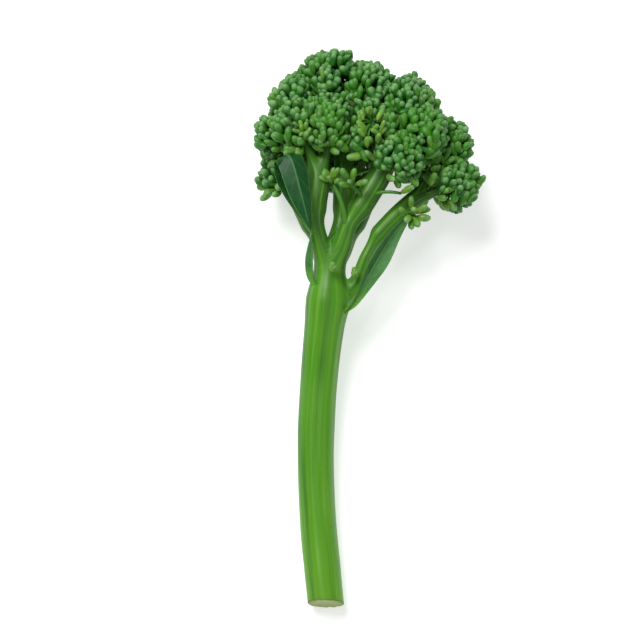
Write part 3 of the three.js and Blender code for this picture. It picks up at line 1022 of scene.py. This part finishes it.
# The faces of a closed leaf: its upper side, its lower side and the wall round the edge.
def leafFaces(rows, columns):
    row, column = np.meshgrid(np.arange(rows - 1), np.arange(columns - 1), indexing="ij")
    corner = row * columns + column
    top = np.stack([corner, corner + 1, corner + columns + 1, corner + columns], axis=-1).reshape(-1, 4)
    size = rows * columns
    edge = np.concatenate([np.arange(columns), np.arange(1, rows) * columns + columns - 1,
                           (rows - 1) * columns + np.arange(columns - 2, -1, -1),
                           np.arange(rows - 2, 0, -1) * columns])
    following = np.roll(edge, -1)
    wall = np.stack([edge, edge + size, following + size, following], axis=1)
    return np.concatenate([top, top[:, ::-1] + size, wall])


# A leaf blade with a fold along its midrib, raised veins and a waved rim, closed on both faces.
def makeLeaf(node, values):
    low, high = nodeBox(node)
    rows, columns = leafShape["rows"], leafShape["columns"]
    route = low + (high - low) * np.array(values["route"])
    line = smoothLine(np.vstack([route[0] + np.array(values["root"]) * mm, route]), rows)
    along, side, out = lineFrames(line, values["up"])
    if "side" in values:
        side = unit(values["side"] - along * (along @ np.array(values["side"]))[:, None])
        out = np.cross(side, along)
    t, u = np.linspace(0, 1, rows)[:, None], np.linspace(-1, 1, columns)[None]
    outline = np.sin(math.pi * np.clip(t ** values["widest"], 0, 1)) ** 0.85
    halfWidth = values["halfWidth"] * np.maximum(outline, np.maximum(0.2 * (1 - t), 0.03))
    fold = math.radians(values["fold"])
    wave = values["wave"] * np.sin(2 * math.pi * values["waves"] * t + 1.2 * np.sign(u)) * np.abs(u) ** 2.5
    x = u * halfWidth * math.cos(fold)
    lift = np.abs(u) ** 1.25 * halfWidth * math.sin(fold) + wave
    sideVein = np.abs(((t * leafShape["sideVeins"] - np.abs(u) * 1.1) % 1) - 0.5) * 2
    vein = np.maximum(np.exp(-(u / 0.07) ** 2) * np.ones_like(t),
                      smoothStep(sideVein, 0.86, 1.0) * 0.4 * (1 - np.abs(u) ** 3))
    rim = smoothStep(np.abs(u), 0.93, 1.0) * np.ones_like(t)
    foot = (1 - smoothStep(t, *values["paleFoot"])) * np.ones_like(u)
    petiole = leafShape["petiole"] * (1 - smoothStep(t, 0.04, 0.2))
    midrib = leafShape["midrib"] * np.exp(-(u / 0.09) ** 2) * (1.1 - t)
    thick = (leafShape["blade"] + petiole + midrib + leafShape["veins"] * vein) * (1 - 0.55 * np.abs(u) ** 4)
    middle = line[:, None] + x[..., None] * side[:, None]
    sides = [middle + (lift + half)[..., None] * out[:, None] for half in (thick / 2, -thick / 2)]
    marks = {key: np.tile(mark.ravel(), 2) for key, mark in {"vein": vein, "rim": rim, "foot": foot}.items()}
    points = np.array(sides).reshape(-1, 3)
    piece = newPiece(f"{node}_blade", points, leafFaces(rows, columns), **marks)
    piece.data.materials.append(leafMaterial(f"{node} skin", leafColours[values["colours"]], mottle, bloom))
    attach(piece, "root")
    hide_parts(node)


for node, values in leafValues.items():
    makeLeaf(node, values)
print("leaves made")


# The small buds in the joints of the stem: the way each one points, and its length in millimetres.
axilValues = {"ways": [(0, 1, 0.35), (0.5, 0.9, 0.5), (-0.45, 1, 0.6), (0.1, 0.8, 0.9)],
              "long": (3.6, 2.6, 2.4, 2.0), "wide": 0.6, "tone": 0.6, "ripe": (0.9, 0.7, 0.8, 0.5),
              "inset": (1.2 * mm, 1.0 * mm)}


def makeAxilBud(node):
    low, high = nodeBox(node)
    gathered = Gathered()
    inset = axilValues["inset"]
    foot = np.array([(low[0] + high[0]) / 2, low[1] + inset[0], low[2] + inset[1]])
    length = np.array(axilValues["long"]) * mm
    addBuds(gathered, np.repeat(foot[None], len(length), 0), unit(axilValues["ways"]),
            length * axilValues["wide"], length, tone=axilValues["tone"], ripe=axilValues["ripe"], depth=0.0)
    piece = gathered.build(f"{node}_buds")
    piece.data.materials.append(budSkin)
    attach(piece, "root")
    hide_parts(node)


for node in ("front_axil_bud", "right_axil_bud"):
    makeAxilBud(node)
print("axil buds made")


# The floor, the lights, and the camera that looks down on the stalk.
stageValues = {"floor": 6.0, "floorGlow": 0.54, "elevation": 78, "distance": 0.9, "lens": 151.5,
               "aimAcross": -0.199, "world": 0.26}
lampValues = {"Key": {"place": (-0.28, 0.36, 0.82), "size": 0.5, "power": 6.9},
              "Fill": {"place": (0.5, -0.45, 0.7), "size": 0.9, "power": 1.15}}


def makeFloor():
    half = stageValues["floor"] / 2
    corners = np.array([[-half, -half, 0], [half, -half, 0], [half, half, 0], [-half, half, 0]])
    floor = newPiece("floor", corners, np.array([[0, 1, 2, 3]]))
    made, p, paint = newMaterial("Floor", {"Roughness": 0.9, "Specular IOR Level": 0.1,
                                           "Emission Color": (1, 1, 1, 1),
                                           "Emission Strength": stageValues["floorGlow"]})
    p.put(p.mix(p.noise(p.place(), 3.0), (0.8, 0.8, 0.8, 1), (0.82, 0.82, 0.82, 1)), paint["Base Color"])
    floor.data.materials.append(made)


def makeLights(middle):
    world = bpy.data.worlds.new("Studio")
    bpy.context.scene.world = world
    world.use_nodes = True
    background = world.node_tree.nodes["Background"].inputs
    background["Color"].default_value = (0.97, 0.985, 1.0, 1)
    background["Strength"].default_value = stageValues["world"]
    for name, values in lampValues.items():
        light = bpy.data.lights.new(name, "AREA")
        light.shape = "DISK"
        light.size = values["size"]
        light.energy = values["power"]
        lamp = bpy.data.objects.new(name, light)
        lamp.location = Vector(values["place"])
        lamp.rotation_euler = (middle - lamp.location).to_track_quat("-Z", "Y").to_euler()
        bpy.context.scene.collection.objects.link(lamp)


def makeCamera(middle):
    lens = bpy.data.cameras.new("Camera")
    lens.lens = stageValues["lens"]
    lens.clip_start = 0.02
    lens.clip_end = 20
    camera = bpy.data.objects.new("Camera", lens)
    tilt = math.radians(stageValues["elevation"])
    aim = middle + Vector((stageValues["aimAcross"] * (cadBox[1].x - cadBox[0].x), 0, 0))
    camera.location = aim + Vector((0, -math.cos(tilt), math.sin(tilt))) * stageValues["distance"]
    camera.rotation_euler = (aim - camera.location).to_track_quat("-Z", "Y").to_euler()
    bpy.context.scene.collection.objects.link(camera)
    bpy.context.scene.camera = camera
    bpy.context.scene.view_settings.view_transform = "Standard"


stalkMiddle = (cadBox[0] + cadBox[1]) / 2
makeFloor()
makeLights(stalkMiddle)
makeCamera(stalkMiddle)
print("stage made")
